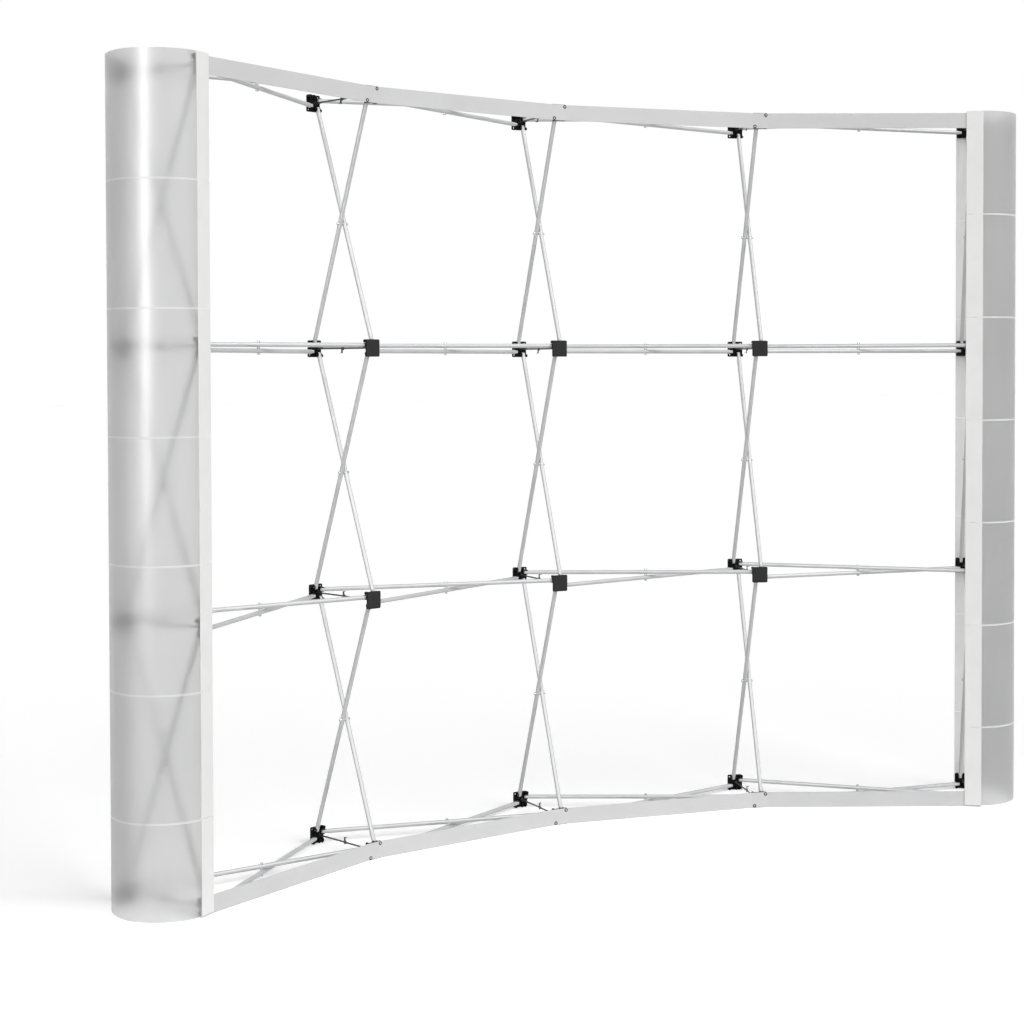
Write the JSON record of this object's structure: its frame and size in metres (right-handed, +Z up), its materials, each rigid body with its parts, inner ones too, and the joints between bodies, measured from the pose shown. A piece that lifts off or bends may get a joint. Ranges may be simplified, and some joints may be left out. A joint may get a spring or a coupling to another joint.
{
  "type": "pop up display backwall",
  "caption": "Curved folding display frame of crossed tubes on square hubs, with hook locks, loop bands and bowed translucent end panels.",
  "frame": {"origin": "on the floor, below the middle of the bounding box", "axes": "+Z up, +X along the wall, to the right for a viewer on the hollow side, -Y towards that viewer"},
  "size_m": [3.021, 0.7036, 2.23],
  "materials": {
    "hub_plastic": "black glass-filled nylon, satin",
    "pin_steel": "plain steel pin",
    "pad_fabric": "charcoal looped pad",
    "tube_aluminium": "satin anodised",
    "plug_plastic": "light grey nylon",
    "rivet_steel": "zinc plated",
    "band_fabric": "woven loop tape, light grey",
    "sheet_plastic": "translucent, lightly ribbed",
    "strip_plastic": "opaque warm white",
    "tape_plastic": "white tape",
    "arm_steel": "blackened spring steel"
  },
  "bodies": {
    "frame": {"near_hubs": "hub_plastic", "far_hubs": "hub_plastic", "hub_pins": "pin_steel", "hub_pads": "pad_fabric", "level_tubes": "tube_aluminium", "upright_tubes": "tube_aluminium", "tube_plugs": "plug_plastic", "level_rivets": "rivet_steel", "upright_rivets": "rivet_steel", "top_band": "band_fabric", "bottom_band": "band_fabric", "band_rivets": "rivet_steel"},
    "left_panel": {"left_sheets": "sheet_plastic", "left_near_strips": "strip_plastic", "left_far_strips": "strip_plastic", "left_seam_tapes": "tape_plastic"},
    "right_panel": {"right_sheets": "sheet_plastic", "right_near_strips": "strip_plastic", "right_far_strips": "strip_plastic", "right_seam_tapes": "tape_plastic"},
    "hook_arm_bottom_1": {"hook_arm_bottom_1": "arm_steel"},
    "catch_arm_bottom_1": {"catch_arm_bottom_1": "arm_steel"},
    "hook_arm_bottom_2": {"hook_arm_bottom_2": "arm_steel"},
    "catch_arm_bottom_2": {"catch_arm_bottom_2": "arm_steel"},
    "hook_arm_bottom_3": {"hook_arm_bottom_3": "arm_steel"},
    "catch_arm_bottom_3": {"catch_arm_bottom_3": "arm_steel"},
    "hook_arm_bottom_4": {"hook_arm_bottom_4": "arm_steel"},
    "catch_arm_bottom_4": {"catch_arm_bottom_4": "arm_steel"},
    "hook_arm_bottom_5": {"hook_arm_bottom_5": "arm_steel"},
    "catch_arm_bottom_5": {"catch_arm_bottom_5": "arm_steel"},
    "hook_arm_lower_1": {"hook_arm_lower_1": "arm_steel"},
    "catch_arm_lower_1": {"catch_arm_lower_1": "arm_steel"},
    "hook_arm_lower_2": {"hook_arm_lower_2": "arm_steel"},
    "catch_arm_lower_2": {"catch_arm_lower_2": "arm_steel"},
    "hook_arm_lower_3": {"hook_arm_lower_3": "arm_steel"},
    "catch_arm_lower_3": {"catch_arm_lower_3": "arm_steel"},
    "hook_arm_lower_4": {"hook_arm_lower_4": "arm_steel"},
    "catch_arm_lower_4": {"catch_arm_lower_4": "arm_steel"},
    "hook_arm_lower_5": {"hook_arm_lower_5": "arm_steel"},
    "catch_arm_lower_5": {"catch_arm_lower_5": "arm_steel"},
    "hook_arm_upper_1": {"hook_arm_upper_1": "arm_steel"},
    "catch_arm_upper_1": {"catch_arm_upper_1": "arm_steel"},
    "hook_arm_upper_2": {"hook_arm_upper_2": "arm_steel"},
    "catch_arm_upper_2": {"catch_arm_upper_2": "arm_steel"},
    "hook_arm_upper_3": {"hook_arm_upper_3": "arm_steel"},
    "catch_arm_upper_3": {"catch_arm_upper_3": "arm_steel"},
    "hook_arm_upper_4": {"hook_arm_upper_4": "arm_steel"},
    "catch_arm_upper_4": {"catch_arm_upper_4": "arm_steel"},
    "hook_arm_upper_5": {"hook_arm_upper_5": "arm_steel"},
    "catch_arm_upper_5": {"catch_arm_upper_5": "arm_steel"},
    "hook_arm_top_1": {"hook_arm_top_1": "arm_steel"},
    "catch_arm_top_1": {"catch_arm_top_1": "arm_steel"},
    "hook_arm_top_2": {"hook_arm_top_2": "arm_steel"},
    "catch_arm_top_2": {"catch_arm_top_2": "arm_steel"},
    "hook_arm_top_3": {"hook_arm_top_3": "arm_steel"},
    "catch_arm_top_3": {"catch_arm_top_3": "arm_steel"},
    "hook_arm_top_4": {"hook_arm_top_4": "arm_steel"},
    "catch_arm_top_4": {"catch_arm_top_4": "arm_steel"},
    "hook_arm_top_5": {"hook_arm_top_5": "arm_steel"},
    "catch_arm_top_5": {"catch_arm_top_5": "arm_steel"}
  },
  "joints": [
    {"name": "left_panel_off", "type": "slide", "parent": "frame", "child": "left_panel", "axis": [-0.8192, -0.5736, 0], "range_m": [0, 0.3]},
    {"name": "right_panel_off", "type": "slide", "parent": "frame", "child": "right_panel", "axis": [0.8192, -0.5736, 0], "range_m": [0, 0.3]},
    {"name": "hook_bottom_1_swing", "type": "hinge", "parent": "frame", "child": "hook_arm_bottom_1", "pos_m": [-1.43724, -0.1124, 0.025], "axis": [-0.8192, -0.5736, 0], "range_deg": [0, 85]},
    {"name": "catch_bottom_1_swing", "type": "hinge", "parent": "frame", "child": "catch_arm_bottom_1", "pos_m": [-1.29958, -0.309, 0.025], "axis": [-0.8192, -0.5736, 0], "range_deg": [0, 8]},
    {"name": "hook_bottom_2_swing", "type": "hinge", "parent": "frame", "child": "hook_arm_bottom_2", "pos_m": [-0.75349, 0.22479, 0.025], "axis": [-0.9537, -0.3007, 0], "range_deg": [0, 85]},
    {"name": "catch_bottom_2_swing", "type": "hinge", "parent": "frame", "child": "catch_arm_bottom_2", "pos_m": [-0.68132, -0.00411, 0.025], "axis": [-0.9537, -0.3007, 0], "range_deg": [0, 8]},
    {"name": "hook_bottom_3_swing", "type": "hinge", "parent": "frame", "child": "hook_arm_bottom_3", "pos_m": [0, 0.34076, 0.025], "axis": [-1, 0, 0], "range_deg": [0, 85]},
    {"name": "catch_bottom_3_swing", "type": "hinge", "parent": "frame", "child": "catch_arm_bottom_3", "pos_m": [0, 0.10076, 0.025], "axis": [-1, 0, 0], "range_deg": [0, 8]},
    {"name": "hook_bottom_4_swing", "type": "hinge", "parent": "frame", "child": "hook_arm_bottom_4", "pos_m": [0.75349, 0.22479, 0.025], "axis": [-0.9537, 0.3007, 0], "range_deg": [0, 85]},
    {"name": "catch_bottom_4_swing", "type": "hinge", "parent": "frame", "child": "catch_arm_bottom_4", "pos_m": [0.68132, -0.00411, 0.025], "axis": [-0.9537, 0.3007, 0], "range_deg": [0, 8]},
    {"name": "hook_bottom_5_swing", "type": "hinge", "parent": "frame", "child": "hook_arm_bottom_5", "pos_m": [1.43724, -0.1124, 0.025], "axis": [-0.8192, 0.5736, 0], "range_deg": [0, 85]},
    {"name": "catch_bottom_5_swing", "type": "hinge", "parent": "frame", "child": "catch_arm_bottom_5", "pos_m": [1.29958, -0.309, 0.025], "axis": [-0.8192, 0.5736, 0], "range_deg": [0, 8]},
    {"name": "hook_lower_1_swing", "type": "hinge", "parent": "frame", "child": "hook_arm_lower_1", "pos_m": [-1.43724, -0.1124, 0.75], "axis": [-0.8192, -0.5736, 0], "range_deg": [0, 85]},
    {"name": "catch_lower_1_swing", "type": "hinge", "parent": "frame", "child": "catch_arm_lower_1", "pos_m": [-1.29958, -0.309, 0.75], "axis": [-0.8192, -0.5736, 0], "range_deg": [0, 85]},
    {"name": "hook_lower_2_swing", "type": "hinge", "parent": "frame", "child": "hook_arm_lower_2", "pos_m": [-0.75349, 0.22479, 0.75], "axis": [-0.9537, -0.3007, 0], "range_deg": [0, 85]},
    {"name": "catch_lower_2_swing", "type": "hinge", "parent": "frame", "child": "catch_arm_lower_2", "pos_m": [-0.68132, -0.00411, 0.75], "axis": [-0.9537, -0.3007, 0], "range_deg": [0, 85]},
    {"name": "hook_lower_3_swing", "type": "hinge", "parent": "frame", "child": "hook_arm_lower_3", "pos_m": [0, 0.34076, 0.75], "axis": [-1, 0, 0], "range_deg": [0, 85]},
    {"name": "catch_lower_3_swing", "type": "hinge", "parent": "frame", "child": "catch_arm_lower_3", "pos_m": [0, 0.10076, 0.75], "axis": [-1, 0, 0], "range_deg": [0, 85]},
    {"name": "hook_lower_4_swing", "type": "hinge", "parent": "frame", "child": "hook_arm_lower_4", "pos_m": [0.75349, 0.22479, 0.75], "axis": [-0.9537, 0.3007, 0], "range_deg": [0, 85]},
    {"name": "catch_lower_4_swing", "type": "hinge", "parent": "frame", "child": "catch_arm_lower_4", "pos_m": [0.68132, -0.00411, 0.75], "axis": [-0.9537, 0.3007, 0], "range_deg": [0, 85]},
    {"name": "hook_lower_5_swing", "type": "hinge", "parent": "frame", "child": "hook_arm_lower_5", "pos_m": [1.43724, -0.1124, 0.75], "axis": [-0.8192, 0.5736, 0], "range_deg": [0, 85]},
    {"name": "catch_lower_5_swing", "type": "hinge", "parent": "frame", "child": "catch_arm_lower_5", "pos_m": [1.29958, -0.309, 0.75], "axis": [-0.8192, 0.5736, 0], "range_deg": [0, 85]},
    {"name": "hook_upper_1_swing", "type": "hinge", "parent": "frame", "child": "hook_arm_upper_1", "pos_m": [-1.43724, -0.1124, 1.475], "axis": [0.8192, 0.5736, 0], "range_deg": [0, 85]},
    {"name": "catch_upper_1_swing", "type": "hinge", "parent": "frame", "child": "catch_arm_upper_1", "pos_m": [-1.29958, -0.309, 1.475], "axis": [0.8192, 0.5736, 0], "range_deg": [0, 85]},
    {"name": "hook_upper_2_swing", "type": "hinge", "parent": "frame", "child": "hook_arm_upper_2", "pos_m": [-0.75349, 0.22479, 1.475], "axis": [0.9537, 0.3007, 0], "range_deg": [0, 85]},
    {"name": "catch_upper_2_swing", "type": "hinge", "parent": "frame", "child": "catch_arm_upper_2", "pos_m": [-0.68132, -0.00411, 1.475], "axis": [0.9537, 0.3007, 0], "range_deg": [0, 85]},
    {"name": "hook_upper_3_swing", "type": "hinge", "parent": "frame", "child": "hook_arm_upper_3", "pos_m": [0, 0.34076, 1.475], "axis": [1, 0, 0], "range_deg": [0, 85]},
    {"name": "catch_upper_3_swing", "type": "hinge", "parent": "frame", "child": "catch_arm_upper_3", "pos_m": [0, 0.10076, 1.475], "axis": [1, 0, 0], "range_deg": [0, 85]},
    {"name": "hook_upper_4_swing", "type": "hinge", "parent": "frame", "child": "hook_arm_upper_4", "pos_m": [0.75349, 0.22479, 1.475], "axis": [0.9537, -0.3007, 0], "range_deg": [0, 85]},
    {"name": "catch_upper_4_swing", "type": "hinge", "parent": "frame", "child": "catch_arm_upper_4", "pos_m": [0.68132, -0.00411, 1.475], "axis": [0.9537, -0.3007, 0], "range_deg": [0, 85]},
    {"name": "hook_upper_5_swing", "type": "hinge", "parent": "frame", "child": "hook_arm_upper_5", "pos_m": [1.43724, -0.1124, 1.475], "axis": [0.8192, -0.5736, 0], "range_deg": [0, 85]},
    {"name": "catch_upper_5_swing", "type": "hinge", "parent": "frame", "child": "catch_arm_upper_5", "pos_m": [1.29958, -0.309, 1.475], "axis": [0.8192, -0.5736, 0], "range_deg": [0, 85]},
    {"name": "hook_top_1_swing", "type": "hinge", "parent": "frame", "child": "hook_arm_top_1", "pos_m": [-1.43724, -0.1124, 2.2], "axis": [0.8192, 0.5736, 0], "range_deg": [0, 85]},
    {"name": "catch_top_1_swing", "type": "hinge", "parent": "frame", "child": "catch_arm_top_1", "pos_m": [-1.29958, -0.309, 2.2], "axis": [0.8192, 0.5736, 0], "range_deg": [0, 85]},
    {"name": "hook_top_2_swing", "type": "hinge", "parent": "frame", "child": "hook_arm_top_2", "pos_m": [-0.75349, 0.22479, 2.2], "axis": [0.9537, 0.3007, 0], "range_deg": [0, 85]},
    {"name": "catch_top_2_swing", "type": "hinge", "parent": "frame", "child": "catch_arm_top_2", "pos_m": [-0.68132, -0.00411, 2.2], "axis": [0.9537, 0.3007, 0], "range_deg": [0, 85]},
    {"name": "hook_top_3_swing", "type": "hinge", "parent": "frame", "child": "hook_arm_top_3", "pos_m": [0, 0.34076, 2.2], "axis": [1, 0, 0], "range_deg": [0, 85]},
    {"name": "catch_top_3_swing", "type": "hinge", "parent": "frame", "child": "catch_arm_top_3", "pos_m": [0, 0.10076, 2.2], "axis": [1, 0, 0], "range_deg": [0, 85]},
    {"name": "hook_top_4_swing", "type": "hinge", "parent": "frame", "child": "hook_arm_top_4", "pos_m": [0.75349, 0.22479, 2.2], "axis": [0.9537, -0.3007, 0], "range_deg": [0, 85]},
    {"name": "catch_top_4_swing", "type": "hinge", "parent": "frame", "child": "catch_arm_top_4", "pos_m": [0.68132, -0.00411, 2.2], "axis": [0.9537, -0.3007, 0], "range_deg": [0, 85]},
    {"name": "hook_top_5_swing", "type": "hinge", "parent": "frame", "child": "hook_arm_top_5", "pos_m": [1.43724, -0.1124, 2.2], "axis": [0.8192, -0.5736, 0], "range_deg": [0, 85]},
    {"name": "catch_top_5_swing", "type": "hinge", "parent": "frame", "child": "catch_arm_top_5", "pos_m": [1.29958, -0.309, 2.2], "axis": [0.8192, -0.5736, 0], "range_deg": [0, 85]}
  ]
}
